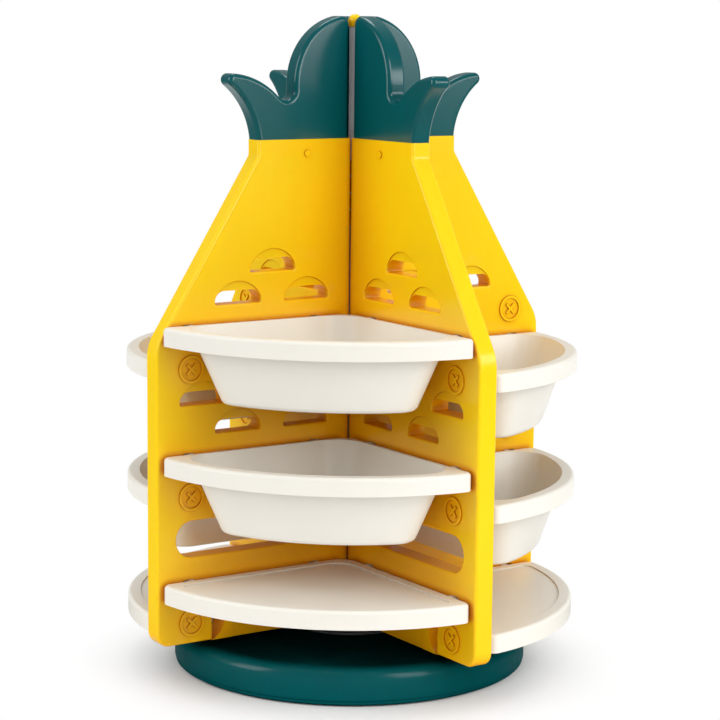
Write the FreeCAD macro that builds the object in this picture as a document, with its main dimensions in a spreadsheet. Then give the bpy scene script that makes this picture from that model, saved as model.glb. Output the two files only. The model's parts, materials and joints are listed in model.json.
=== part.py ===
import FreeCAD, Part
import math
import os

import Sketcher
from FreeCAD import Rotation, Vector

doc = FreeCAD.newDocument("toy_carousel")
sheet = doc.addObject("Spreadsheet::Sheet", "Sizes")

# Driving sizes in millimetres. Heights are above the floor unless the note says otherwise.
# A radius runs from the turning axis.
SIZES = [
    # panels
    ("wing_radius", 330, "outer edge of a panel"),
    ("panel_thick", 30, "thickness of a panel"),
    ("panel_wall", 2.5, "wall of the hollow panels and leaves"),
    ("panel_foot", 62, "lower edge of the panels"),
    ("kink_height", 486, "where a panel starts to narrow"),
    ("shoulder_drop", 22, "how far below its top a panel stops narrowing"),
    ("panel_top", 765, "upper edge of the panels"),
    ("neck_radius", 168.5, "outer edge of a panel at its top"),
    ("core_radius", 15.5, "inner edge of a panel"),
    ("foot_round", 20, "lower outer corner of a panel"),
    ("kink_round", 55, "bend where the panel narrows"),
    ("shoulder_round", 12, "bend below the leaf"),
    ("panel_round", 4, "rounding of a panel's outer edges"),
    ("seam_round", 1.5, "rounding of a panel's inner edges"),
    ("opening_round", 2.5, "rounding of window and slot edges"),
    # window and slots
    ("window_high", 52, "height of the window"),
    ("window_rise", 58, "window centre above the tray rim"),
    ("window_inner", 60, "inner end of the window"),
    ("window_border", 30.5, "from the window's outer end to the panel's edge"),
    ("slot_long", 73, "length of a slot"),
    ("slot_high", 19, "height of a slot"),
    ("slot_top_round", 15, "upper corners of a slot"),
    ("slot_low_round", 3, "lower corners of a slot"),
    ("slot_first", 88.5, "radius of the innermost slot"),
    ("slot_step", 56, "radius from one slot column to the next"),
    ("slot_rise_low", 34, "first slot row above a rim"),
    ("slot_rise_high", 77, "second slot row above a rim"),
    ("arch_rise", 23, "top of the arch above the slot's middle"),
    ("arch_deep", 1.5, "depth of the arch above a slot"),
    # hooks and their sockets
    ("hook_border", 54, "from the outer hooks to the panel's edge"),
    ("hook_inner", 70, "radius of the inner hooks"),
    ("hook_wide", 24, "width of a hook"),
    ("hook_low", 24, "hook's lower edge below the rim"),
    ("hook_reach", 8, "how far a hook enters the panel"),
    ("hook_clear", 0.6, "space round a hook in its socket"),
    ("boss_wide", 39, "width of the ring behind a socket"),
    ("boss_line", 3.5, "width of the ring's band and cross"),
    ("button_across", 89, "distance of the small button from the axis"),
    ("button_drop", 20, "small button below the panel's top"),
    ("button_wide", 9, "diameter of the small button"),
    ("boss_raise", 2, "height of the ring above the panel"),
    # tiers
    ("top_rim", 514, "rims of the upper bins between west and south"),
    ("tier_pitch", 180, "height from tier to tier"),
    ("tier_stagger", 50, "how much lower the neighbouring quadrants sit"),
    # rims, bowls and trays
    ("rim_set_back", 4, "from a rim's front to the panel's edge"),
    ("rim_high", 25, "height of the rim band"),
    ("rim_gap", 1.5, "space between a rim and the panels"),
    ("rim_corner", 13, "outer corners of a rim"),
    ("rim_nose", 30, "inner corner of a rim"),
    ("rim_round", 5, "upper edge of a rim"),
    ("bin_wall", 2.5, "wall of bins and trays"),
    ("bin_deep", 103, "depth of a bin below its rim"),
    ("bowl_set_back", 15, "from the bowl's front at the rim to the rim's front"),
    ("bowl_inset", 9, "bowl's side from the panel, at the rim"),
    ("bowl_corner", 44, "bowl's corners at the rim"),
    ("floor_set_back", 34, "lean of the bowl's front"),
    ("floor_inset", 38, "bowl's side from the panel, at the floor"),
    ("floor_corner", 33, "bowl's corners at the floor"),
    ("bowl_round", 10, "bowl's lower edge"),
    ("tray_high", 26, "height of a tray's band"),
    ("tray_border", 18, "width of the raised border"),
    ("tray_sink", 2, "how deep the tray's top is sunk"),
    ("tray_rib_high", 15, "depth of the ribs under a tray"),
    ("tray_rib_step", 92, "distance between the ribs under a tray"),
    # leaves, with heights above the panel's top
    ("leaf_inner", 18, "inner edge of a leaf"),
    ("lobe_wide", 90, "width of the tall lobe at its foot"),
    ("lobe_foot", 77.5, "where the tall lobe starts to curve"),
    ("lobe_radius", 96, "curve of the tall lobe"),
    ("lobe_round", 12, "inner corner of the tall lobe"),
    ("valley_rise", 22, "corner between lobe and tip before it is rounded"),
    ("valley_round", 14, "rounding of that corner"),
    ("tip_reach", 67, "corner of the tip beyond the panel's neck before it is rounded"),
    ("tip_rise", 89.5, "height of that corner"),
    ("tip_round", 9, "rounding of the tip"),
    ("tip_hollow", 15.5, "hollow of the leaf's outer edge"),
    ("tip_crown", 26, "bulge of the tip's upper edge"),
    ("leaf_round", 6.5, "rounding of a leaf's edges"),
    ("pin_wide", 10, "diameter of a leaf pin"),
    ("pin_long", 36, "length of a leaf pin"),
    ("pin_inner", 48, "radius of the inner leaf pin"),
    ("pin_outer", 138, "radius of the outer leaf pin"),
    # pole and knuckles
    ("pole_wide", 16, "diameter of the pole"),
    ("pole_wall", 1.5, "wall of the pole"),
    ("pole_rise", 161, "upper end of the pole above the panels"),
    ("fit_clear", 0.15, "space round the pole, pins and screws in their holes"),
    ("cap_wall", 1.75, "wall of the cap round the pole"),
    ("cap_crown", 3.75, "straight part of the cap above the pole"),
    ("cap_skirt", 4, "how far the cap reaches down the pole"),
    ("knuckle_wide", 27, "diameter of a knuckle"),
    ("web_wide", 16, "width of the web that carries a knuckle"),
    ("knuckle_high", 20, "height of a knuckle"),
    ("knuckle_pitch", 24, "height from one panel's knuckle to the next"),
    ("knuckle_rise", 12.5, "lowest knuckle above the arms"),
    ("knuckle_drop", 125, "upper set of knuckles below the panel's top"),
    ("insert_long", 22, "length of the threaded insert in the pole"),
    ("bolt_wide", 8, "pole bolt's shank"),
    ("bolt_head_wide", 13, "pole bolt's head"),
    ("bolt_head_high", 5.5, "height of the pole bolt's head"),
    ("bolt_into", 18, "how far the pole bolt enters the insert"),
    # hub
    ("disc_border", 4, "edge of the hub's disc beyond the race"),
    ("disc_high", 12, "thickness of the disc"),
    ("arm_high", 55.5, "height of an arm"),
    ("arm_radius", 243.5, "outer end of an arm"),
    ("arm_bite", 21, "depth of the hollow in an arm's end"),
    ("arm_step", 1, "how much an arm is set back from the panel's face"),
    ("arm_end_long", 35, "length of an arm's full-width end"),
    ("pole_floor", 10, "floor of the hub under the pole"),
    ("arm_wall", 3, "wall round the hollow of an arm"),
    ("arm_air_reach", 14, "how far that hollow runs past the screws"),
    ("arm_screw_inner", 145, "radius of the inner arm screw"),
    ("arm_screw_outer", 192, "radius of the outer arm screw"),
    ("arm_screw_wide", 5, "arm screw's shank"),
    ("arm_screw_head", 10, "arm screw's head"),
    ("arm_screw_head_high", 4, "height of the arm screw's head"),
    ("arm_screw_into", 25, "how far an arm screw enters the panel"),
    # bearing
    ("race_inner", 42, "inner edge of the races"),
    ("race_outer", 88, "outer edge of the races"),
    ("race_high", 3, "thickness of a race"),
    ("ball_wide", 6, "diameter of a ball"),
    ("ball_clear", 0.2, "space between the balls and each race"),
    ("ball_sink", 2, "depth of a ball in each race"),
    ("cage_high", 1.2, "thickness of the cage"),
    ("cage_wide", 16, "width of the cage"),
    ("race_screw_border", 8, "from a race's edge to its screws"),
    ("race_screw_wide", 4, "race screw's shank"),
    ("race_screw_head", 7, "race screw's head"),
    ("small_head_high", 1.8, "height of the race and base screws' heads"),
    ("race_screw_long", 10, "length of a race screw"),
    # base
    ("base_radius", 258, "edge of the dish"),
    ("base_round", 19, "shoulder of the dish"),
    ("base_wall", 3, "wall of the dish and its plate"),
    ("lip_top", 9, "parting line of the dish"),
    ("lip_set_back", 1.2, "how far the lip stands behind the dish"),
    ("lip_wide", 8, "width of the lip's ring"),
    ("lip_edge", 2.5, "lower edge of the lip"),
    ("pad_high", 2, "how far the rubber feet stand proud"),
    ("pad_wide", 32, "diameter of a rubber foot"),
    ("pad_sink", 1, "how deep a foot sits in the plate"),
    ("pad_border", 36, "from the circle of the feet to the dish's edge"),
    ("post_border", 68, "from the circle of the base screws to the dish's edge"),
    ("post_wide", 14, "posts that take the base screws"),
    ("base_screw_wide", 4, "base screw's shank"),
    ("base_screw_head", 8, "base screw's head"),
    ("base_screw_long", 22, "length of a base screw"),
    ("race_post_wide", 11, "posts that take the race screws"),
    ("race_post_long", 12, "length of those posts"),
    ("rib_high", 12, "depth of the dish's ribs"),
    ("rib_thick", 2.5, "thickness of a rib"),
]

SLANT = math.sqrt(0.5)    # what a length at 45 degrees measures along each axis
QUARTER_SAG = 1 - SLANT    # rise of a quarter circle over its chord, for a radius of one
BASE_SCREWS = 6
RACE_SCREWS = 6
FEET = 6
RIBS = 12
BALLS = 20
SLOT_COLUMNS = 4
TRAY_RIBS = 3
UPPER_SCREW_TURN = 15    # keeps the upper race's screws between the arms
POST_TURN = 15    # keeps posts and feet between the ribs
SHORT_LINE = 0.5    # straight stretch that stays between two large corner rounds
NEAR = 1e-4    # how close two places count as the same
PAST = 1    # how far an edge has to lie beyond a place
WINGS = [("east", 0), ("north", 90), ("west", 180), ("south", 270)]
QUADRANTS = [("northeast", 0), ("northwest", 90), ("southwest", 180), ("southeast", 270)]

for row, (name, number, note) in enumerate(SIZES, start=1):
    sheet.set(f"A{row}", name)
    sheet.set(f"B{row}", str(number))
    sheet.set(f"C{row}", note)
    sheet.setAlias(f"B{row}", name)
doc.recompute()


# A length that knows its number and the sheet expression that it comes from.
class Size:
    def __init__(self, value, text):
        self.value = float(value)
        self.text = text

    def __add__(self, other):
        other = as_size(other)
        return Size(self.value + other.value, f"({self.text} + {other.text})")

    def __sub__(self, other):
        other = as_size(other)
        return Size(self.value - other.value, f"({self.text} - {other.text})")

    def __mul__(self, other):
        other = as_size(other)
        return Size(self.value * other.value, f"({self.text} * {other.text})")

    def __truediv__(self, other):
        other = as_size(other)
        return Size(self.value / other.value, f"({self.text} / {other.text})")


def as_size(number):
    if isinstance(number, Size):
        return number
    return Size(number, repr(float(number)))


def root(size):
    return Size(math.sqrt(size.value), f"sqrt({size.text})")


def cell(name):
    return Size(sheet.get(name), f"Sizes.{name}")


def bind(thing, prop, size):
    thing.setExpression(prop, as_size(size).text)


def new_body(name):
    return doc.addObject("PartDesign::Body", name)


def origin_feature(body, role):
    return next(f for f in body.Origin.OriginFeatures if f.Role == role)


# A sketch on one of a body's own planes, with every point and radius bound to the sheet.
# On the XY plane the drawing's axes are X and Y; on XZ they are X and Z; on YZ they are Y and Z.
class Drawing:
    def __init__(self, body, name, plane, away=0):
        self.sketch = body.newObject("Sketcher::SketchObject", name)
        self.sketch.AttachmentSupport = (origin_feature(body, plane), [""])
        self.sketch.MapMode = "FlatFace"
        bind(self.sketch, "AttachmentOffset.Base.z", away)
        self.waiting = []

    def rule(self, *parts):
        self.waiting.append((Sketcher.Constraint(*parts), None))

    def measure(self, kind, parts, size):
        self.waiting.append((Sketcher.Constraint(kind, *parts, size.value), size))

    def pin(self, geometry, point, across, up):
        for kind, size, axis in (("DistanceX", as_size(across), -2), ("DistanceY", as_size(up), -1)):
            if size.value == 0:
                self.rule("PointOnObject", geometry, point, axis)
            else:
                self.measure(kind, (-1, 1, geometry, point), size)

    def finish(self):
        first = self.sketch.ConstraintCount
        self.sketch.addConstraint([constraint for constraint, size in self.waiting])
        for index, (constraint, size) in enumerate(self.waiting, start=first):
            if size is not None:
                bind(self.sketch, f"Constraints[{index}]", size)
        self.waiting = []
        return self.sketch

    def circle(self, across, up, radius):
        centre = Vector(as_size(across).value, as_size(up).value, 0)
        index = self.sketch.addGeometry(Part.Circle(centre, Vector(0, 0, 1), radius.value), False)
        self.pin(index, 3, across, up)
        self.measure("Radius", (index,), radius)

    # Corners in anticlockwise order as (across, up, radius); a radius of None leaves a sharp corner.
    def rounded(self, corners):
        spots = [Vector(as_size(a).value, as_size(u).value, 0) for a, u, r in corners]
        count = len(corners)
        before, after, arcs = [], [], []
        for i, (across, up, radius) in enumerate(corners):
            here = spots[i]
            back = (spots[i - 1] - here).normalize()
            ahead = (spots[(i + 1) % count] - here).normalize()
            if radius is None:
                before.append(here)
                after.append(here)
                arcs.append(None)
                continue
            half = back.getAngle(ahead) / 2
            reach = radius.value / math.tan(half)
            before.append(here + back * reach)
            after.append(here + ahead * reach)
            centre = here + (back + ahead).normalize() * (radius.value / math.sin(half))
            arcs.append((centre, back.cross(ahead).z < 0))
        lines = [self.sketch.addGeometry(Part.LineSegment(after[i], before[(i + 1) % count]), False)
                 for i in range(count)]
        for i, (across, up, radius) in enumerate(corners):
            if radius is None:
                self.rule("Coincident", lines[i - 1], 2, lines[i], 1)
                self.pin(lines[i], 1, across, up)
                continue
            centre, left = arcs[i]
            start, end = (before[i], after[i]) if left else (after[i], before[i])
            arc = self.sketch.addGeometry(arc_between(centre, start, end), False)
            first, last = (1, 2) if left else (2, 1)
            self.rule("Tangent", lines[i - 1], 2, arc, first)
            self.rule("Tangent", arc, last, lines[i], 1)
            self.measure("Radius", (arc,), radius)
            corner = self.sketch.addGeometry(Part.Point(spots[i]), True)
            self.rule("PointOnObject", corner, 1, lines[i - 1])
            self.rule("PointOnObject", corner, 1, lines[i])
            self.pin(corner, 1, across, up)

    # Corners in anticlockwise order as (across, up, rise). The edge that leaves a corner is straight
    # where rise is None, and otherwise an arc that bulges outwards, or inwards where side is "in".
    def chain(self, corners):
        spots = [Vector(as_size(a).value, as_size(u).value, 0) for a, u, bend in corners]
        count = len(corners)
        ends = []
        for i, (across, up, bend) in enumerate(corners):
            here, there = spots[i], spots[(i + 1) % count]
            if bend is None:
                line = self.sketch.addGeometry(Part.LineSegment(here, there), False)
                ends.append((line, 1, 2))
                continue
            rise, side = bend
            radius = bow_radius(corners[i], corners[(i + 1) % count], rise)
            along = there - here
            left = Vector(-along.y, along.x, 0).normalize()
            middle = (here + there) * 0.5
            lean = radius.value - rise.value
            if side == "out":
                centre = middle + left * lean
                arc = self.sketch.addGeometry(arc_between(centre, here, there), False)
                ends.append((arc, 1, 2))
            else:
                centre = middle - left * lean
                arc = self.sketch.addGeometry(arc_between(centre, there, here), False)
                ends.append((arc, 2, 1))
            self.measure("Radius", (arc,), radius)
        for i, (across, up, bend) in enumerate(corners):
            last, first = ends[i - 1], ends[i]
            self.rule("Coincident", last[0], last[2], first[0], first[1])
            self.pin(first[0], first[1], across, up)

    def box(self, left, low, right, high):
        self.rounded([(left, low, None), (right, low, None), (right, high, None), (left, high, None)])

    # A quarter of a disc between the planes of two panels, with round corners.
    def sector(self, radius, inset, nose, corner):
        reach = root((radius - corner) * (radius - corner) - (inset + corner) * (inset + corner))
        far = Vector(reach.value, inset.value + corner.value, 0)
        turn = math.atan2(far.y, far.x)
        touch = Vector(math.cos(turn), math.sin(turn), 0) * radius.value
        low, step = inset.value, inset.value + nose.value
        middle = Vector(step, step, 0)
        add = self.sketch.addGeometry
        side = add(Part.LineSegment(Vector(step, low, 0), Vector(far.x, low, 0)), False)
        first = add(arc_between(far, Vector(far.x, low, 0), touch), False)
        front = add(arc_between(Vector(0, 0, 0), touch, Vector(touch.y, touch.x, 0)), False)
        other = Vector(far.y, far.x, 0)
        second = add(arc_between(other, Vector(touch.y, touch.x, 0), Vector(low, far.x, 0)), False)
        back = add(Part.LineSegment(Vector(low, far.x, 0), Vector(low, step, 0)), False)
        tip = add(arc_between(middle, Vector(low, step, 0), Vector(step, low, 0)), False)
        ring = [side, first, front, second, back, tip]
        for i, piece in enumerate(ring):
            self.rule("Tangent", piece, 2, ring[(i + 1) % len(ring)], 1)
        for piece, size in ((first, corner), (second, corner), (front, radius), (tip, nose)):
            self.measure("Radius", (piece,), size)
        self.rule("Coincident", front, 3, -1, 1)
        self.rule("Horizontal", side)
        self.rule("Vertical", back)
        self.measure("DistanceY", (-1, 1, side, 1), inset)
        self.measure("DistanceX", (-1, 1, back, 2), inset)


def arc_between(centre, start, end):
    circle = Part.Circle(centre, Vector(0, 0, 1), (start - centre).Length)
    turn_start = math.atan2(start.y - centre.y, start.x - centre.x)
    turn_end = math.atan2(end.y - centre.y, end.x - centre.x)
    return Part.ArcOfCircle(circle, turn_start, turn_end)


# Radius of an arc from the corners of its chord and its rise over that chord.
def bow_radius(start, end, rise):
    across = as_size(end[0]) - start[0]
    up = as_size(end[1]) - start[1]
    return (across * across + up * up) / (rise * 8) + rise / 2


def add_pad(body, drawing, name, length, both_ways=False, backwards=False):
    pad = body.newObject("PartDesign::Pad", name)
    pad.Profile = drawing.finish()
    bind(pad, "Length", length)
    pad.Midplane = both_ways
    pad.Reversed = backwards
    drawing.sketch.Visibility = False
    doc.recompute()
    return pad


# Cuts along the sketch's normal, or against it where against is True. The cut has to take something.
def add_pocket(body, drawing, name, length, both_ways=False, against=False):
    volume = body.Shape.Volume
    pocket = body.newObject("PartDesign::Pocket", name)
    pocket.Profile = drawing.finish()
    bind(pocket, "Length", length)
    pocket.Midplane = both_ways
    pocket.Reversed = not against
    doc.recompute()
    if body.Shape.Volume >= volume:
        raise RuntimeError(f"{body.Name}: {name} cuts nothing")
    return pocket


def add_loft(body, kind, name, drawings):
    loft = body.newObject(kind, name)
    sketches = [drawing.finish() for drawing in drawings]
    loft.Profile = sketches[0]
    loft.Sections = sketches[1:]
    loft.Ruled = True
    doc.recompute()
    return loft


def add_turning(body, drawing, name):
    turning = body.newObject("PartDesign::Revolution", name)
    turning.Profile = drawing.finish()
    turning.ReferenceAxis = (drawing.sketch, ["V_Axis"])
    turning.Angle = 360
    doc.recompute()
    return turning


def add_fillet(body, name, radius, wanted):
    base = body.Tip
    names = [f"Edge{i}" for i, edge in enumerate(base.Shape.Edges, start=1) if wanted(edge)]
    if not names:
        raise RuntimeError(f"{body.Name}: {name} finds no edges")
    fillet = body.newObject("PartDesign::Fillet", name)
    fillet.Base = (base, names)
    bind(fillet, "Radius", radius)
    doc.recompute()
    return fillet


def add_turned_copies(body, name, features, count):
    pattern = body.newObject("PartDesign::PolarPattern", name)
    pattern.Originals = features
    pattern.Axis = (origin_feature(body, "Z_Axis"), [""])
    pattern.Angle = 360
    pattern.Occurrences = count
    body.Tip = pattern
    doc.recompute()
    return pattern


# Names a finished piece, turns it about the upright axis and lifts it to its height.
def finish_piece(thing, label, turn=0, lift=0):
    thing.Label = label
    thing.Placement.Rotation = Rotation(Vector(0, 0, 1), turn)
    bind(thing, "Placement.Base.z", lift)
    nodes.append(thing)


# A repeated piece: the same shape as its model, in its own place.
def add_copy(label, model, turn, lift=0):
    copy = doc.addObject("Part::Compound", label)
    copy.Links = [model]
    finish_piece(copy, label, turn, lift)


def add_cylinder(name, radius, height, across=0, along=0, lift=0):
    cylinder = doc.addObject("Part::Cylinder", name)
    bind(cylinder, "Radius", radius)
    bind(cylinder, "Height", height)
    bind(cylinder, "Placement.Base.x", across)
    bind(cylinder, "Placement.Base.y", along)
    bind(cylinder, "Placement.Base.z", lift)
    return cylinder


# Places on a circle about the upright axis, as (across, along).
def ring_places(radius, count, first_turn=0):
    turns = [math.radians(first_turn + 360 * step / count) for step in range(count)]
    return [(radius * math.cos(turn), radius * math.sin(turn)) for turn in turns]


# Equal screws in one piece group. The head is below the shank where the screws point up.
def add_screws(label, places, shank, length, head, head_high, head_bottom, points_up=True):
    screws = []
    for step, (across, along) in enumerate(places):
        shank_bottom = head_bottom + head_high if points_up else head_bottom - length
        body = add_cylinder(f"{label}_shank_{step}", shank / 2, length, across, along, shank_bottom)
        cap = add_cylinder(f"{label}_head_{step}", head / 2, head_high, across, along, head_bottom)
        screw = doc.addObject("Part::Fuse", f"{label}_{step}")
        screw.Base = body
        screw.Tool = cap
        screws.append(screw)
    group = doc.addObject("Part::Compound", label)
    group.Links = screws
    finish_piece(group, label)


def lies_at(edge, axis, level):
    box = edge.BoundBox
    low, high = ((box.XMin, box.XMax), (box.YMin, box.YMax), (box.ZMin, box.ZMax))[axis]
    return abs(low - level) < NEAR and abs(high - level) < NEAR


# Edges of the openings in the two faces of a plate that stands across Y.
def hole_edges(shape, half):
    found = []
    for face in shape.Faces:
        surface = face.Surface
        if isinstance(surface, Part.Plane) and 1 - abs(surface.Axis.y) < NEAR \
                and abs(abs(surface.Position.y) - half) < NEAR:
            found += [edge for wire in face.Wires if not wire.isSame(face.OuterWire) for edge in wire.Edges]
    return found


nodes = []

panel_half = cell("panel_thick") / 2
rim_inset = panel_half + cell("rim_gap")
arm_top = cell("panel_foot") + cell("arm_high")
tray_rim = cell("top_rim") - cell("tier_pitch") * 2
hook_half = cell("hook_wide") / 2
hook_middle = cell("hook_low") - hook_half    # centre of the hook's arch below the rim
pin_sink = cell("pin_long") / 2
deck = cell("panel_foot") - cell("race_high") * 2 - cell("ball_wide") + cell("ball_sink") * 2
arm_half = panel_half - cell("arm_step")
shoulder = cell("panel_top") - cell("shoulder_drop")
window_outer = cell("wing_radius") - cell("window_border")
hook_outer = cell("wing_radius") - cell("hook_border")
button_up = cell("panel_top") - cell("button_drop")
rim_radius = cell("wing_radius") - cell("rim_set_back")
bowl_radius = rim_radius - cell("bowl_set_back")
floor_radius = bowl_radius - cell("floor_set_back")
pole_foot = cell("panel_foot") + cell("pole_floor")
pole_top = cell("panel_top") + cell("pole_rise")
ball_radius = (cell("race_inner") + cell("race_outer")) / 2
lower_screw_radius = cell("race_inner") + cell("race_screw_border")
upper_screw_radius = cell("race_outer") - cell("race_screw_border")
disc_radius = cell("race_outer") + cell("disc_border")
pad_circle = cell("base_radius") - cell("pad_border")
post_circle = cell("base_radius") - cell("post_border")


# Heights of the rims of one quadrant, from the top tier down to the tray.
def rim_heights(low_side):
    top = cell("top_rim") - cell("tier_stagger") if low_side else cell("top_rim")
    return [top, top - cell("tier_pitch"), top - cell("tier_pitch") * 2]


# Panels.

# Outline of a panel from its inner edge outwards, or of the hollow inside its wall.
def panel_corners(wall, top):
    lean = (cell("wing_radius") - cell("neck_radius")) / (shoulder - cell("kink_height"))
    side = wall * root(lean * lean + 1)
    wing = cell("wing_radius") - wall
    kink = cell("kink_height") + (wall - side) / lean
    inner = cell("core_radius") + wall
    foot = cell("panel_foot") + wall
    step = cell("arm_radius") + wall
    corners = [(inner, arm_top + wall, None), (step, arm_top + wall, None), (step, foot, None),
               (wing, foot, cell("foot_round") - wall), (wing, kink, cell("kink_round") - wall)]
    if wall.value == 0:
        corners += [(cell("neck_radius"), shoulder, cell("shoulder_round")),
                    (cell("neck_radius"), top, None)]
    else:
        corners.append((wing - (top - kink) * lean, top, None))
    return corners + [(inner, top, None)]


def slot_places():
    columns = [cell("slot_first") + cell("slot_step") * step for step in range(SLOT_COLUMNS)]
    top = cell("top_rim")
    middle = top - cell("tier_pitch")
    low_row, high_row = cell("slot_rise_low"), cell("slot_rise_high")
    return [(columns[1], top + high_row), (columns[0], top + low_row), (columns[2], top + low_row),
            (columns[1], middle + high_row), (columns[3], middle + high_row),
            (columns[0], middle + low_row), (columns[2], middle + low_row)]


def draw_slot(drawing, across, up, grow):
    half = cell("slot_long") / 2 + grow
    rise = cell("slot_high") / 2 + grow
    low, high = cell("slot_low_round") + grow, cell("slot_top_round")
    drawing.rounded([(across - half, up - rise, low), (across + half, up - rise, low),
                     (across + half, up + rise, high), (across - half, up + rise, high)])


def draw_window(drawing, grow):
    middle = tray_rim + cell("window_rise")
    rise = cell("window_high") / 2 + grow
    left = cell("window_inner") - grow
    right = window_outer + grow
    corner = rise - SHORT_LINE
    drawing.rounded([(left, middle - rise, corner), (right, middle - rise, corner),
                     (right, middle + rise, corner), (left, middle + rise, corner)])


# Cuts the window and the slots through a plate, or keeps their walls out of its hollow.
def add_openings(body, grow):
    deep = cell("panel_thick") * 2
    places = slot_places()
    for name, group in (("upper", places[:3]), ("lower", places[3:])):
        drawing = Drawing(body, f"{name}_slot_lines", "XZ_Plane")
        for across, up in group:
            draw_slot(drawing, across, up, grow)
        add_pocket(body, drawing, f"{name}_slots", deep, both_ways=True)
    drawing = Drawing(body, "window_lines", "XZ_Plane")
    draw_window(drawing, grow)
    add_pocket(body, drawing, "window", deep, both_ways=True)


# Shallow arches over the slots, in both faces.
def add_arches(body):
    half = cell("slot_long") / 2
    for name, side, against in (("left", -1, False), ("right", 1, True)):
        drawing = Drawing(body, f"arch_{name}_lines", "XZ_Plane", panel_half * side)
        for across, up in slot_places():
            drawing.chain([(across - half, up, None), (across + half, up, (cell("arch_rise"), "out"))])
        add_pocket(body, drawing, f"arches_{name}", cell("arch_deep"), against=against)


# Hook places on one face of a panel, as (radius, height of the rim).
def hook_places(low_side):
    heights = rim_heights(low_side)
    places = [(hook_outer, height) for height in heights]
    inner_heights = heights[:-1] if low_side else heights
    return places + [(cell("hook_inner"), height) for height in inner_heights]


# A socket is an arch, longer on its outer side so that a hook can leave along the diagonal.
def draw_socket(drawing, across, rim, grow):
    clear = cell("hook_clear") + grow
    left = across - hook_half - clear
    right = across + hook_half + cell("hook_reach") + clear
    low = rim - cell("hook_low") - grow
    high = rim - hook_middle + hook_half + clear
    arch = hook_half + clear - SHORT_LINE
    drawing.rounded([(left, low, None), (right, low, None), (right, high, arch), (left, high, arch)])


# Sockets in the face at +Y where up_face is True, and otherwise in the face at -Y.
def add_sockets(body, name, places, up_face):
    drawing = Drawing(body, f"{name}_lines", "XZ_Plane", panel_half * (-1 if up_face else 1))
    for across, rim in places:
        draw_socket(drawing, across, rim, as_size(0))
    add_pocket(body, drawing, name, cell("hook_reach") + cell("hook_clear"), against=not up_face)


# A cross whose arms lie at 45 degrees, drawn from its lowest arm's left corner.
def draw_cross(drawing, across, up, reach, half):
    arm = [(half * -1, reach * -1), (half, reach * -1), (half, half * -1)]
    corners = []
    for turn in range(4):
        for x, y in arm:
            for quarter in range(turn):
                x, y = y * -1, x
            corners.append((across + (x - y) * SLANT, up + (x + y) * SLANT, None))
    drawing.rounded(corners)


# Raised rings with a cross, on the face behind the outer sockets, and a button under the leaf.
def add_bosses(body, name, low_side, up_face):
    outer = cell("boss_wide") / 2
    drawing = Drawing(body, f"{name}_lines", "XZ_Plane", panel_half * (-1 if up_face else 1))
    for rim in rim_heights(low_side):
        up = rim - hook_middle
        drawing.circle(hook_outer, up, outer)
        drawing.circle(hook_outer, up, outer - cell("boss_line"))
        draw_cross(drawing, hook_outer, up, outer / 2, cell("boss_line") / 2)
    drawing.circle(cell("button_across"), button_up, cell("button_wide") / 2)
    add_pad(body, drawing, name, cell("boss_raise"), backwards=up_face)


def on_plate_face(edge):
    return any(lies_at(edge, 1, side * panel_half.value) for side in (1, -1))


# Edges of a panel's outside, from its foot round the wing to the leaf.
def outer_panel_edge(edge):
    box = edge.BoundBox
    wing = box.XMax > cell("arm_radius").value + PAST
    neck = box.ZMin > cell("kink_height").value and box.XMin > cell("neck_radius").value - PAST
    return on_plate_face(edge) and (wing or neck)


def inner_panel_edge(edge):
    return on_plate_face(edge) and lies_at(edge, 0, cell("core_radius").value)


def draw_screw_places(drawing, radius):
    for across in (cell("arm_screw_inner"), cell("arm_screw_outer")):
        drawing.circle(across, 0, radius)


def draw_pin_places(drawing):
    for across in (cell("pin_inner"), cell("pin_outer")):
        drawing.circle(across, 0, cell("pin_wide") / 2)


# The plate of a panel. Its face at +Y takes the high hooks, and the face at -Y the low ones.
def make_plate():
    body = new_body("plate_outside")
    outline = Drawing(body, "outline", "XZ_Plane")
    outline.rounded(panel_corners(as_size(0), cell("panel_top")))
    add_pad(body, outline, "plate", cell("panel_thick"), both_ways=True)
    add_fillet(body, "outer_edges", cell("panel_round"), outer_panel_edge)
    add_fillet(body, "inner_edges", cell("seam_round"), inner_panel_edge)
    add_openings(body, as_size(0))
    rims = hole_edges(body.Tip.Shape, panel_half.value)
    add_fillet(body, "opening_edges", cell("opening_round"),
               lambda edge: any(edge.isSame(rim) for rim in rims))
    add_arches(body)
    add_sockets(body, "high_sockets", hook_places(False), True)
    add_sockets(body, "low_sockets", hook_places(True), False)
    add_bosses(body, "high_bosses", False, False)
    add_bosses(body, "low_bosses", True, True)
    pins = Drawing(body, "pin_lines", "XY_Plane", cell("panel_top"))
    draw_pin_places(pins)
    add_pocket(body, pins, "pin_holes", pin_sink, against=True)
    screws = Drawing(body, "screw_lines", "XY_Plane", arm_top)
    draw_screw_places(screws, cell("arm_screw_wide") / 2 + cell("fit_clear"))
    add_pocket(body, screws, "screw_holes", cell("arm_screw_into"))
    plate = doc.addObject("Part::Cut", "hollow_plate")
    plate.Base = body
    plate.Tool = make_plate_air()
    return plate


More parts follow.
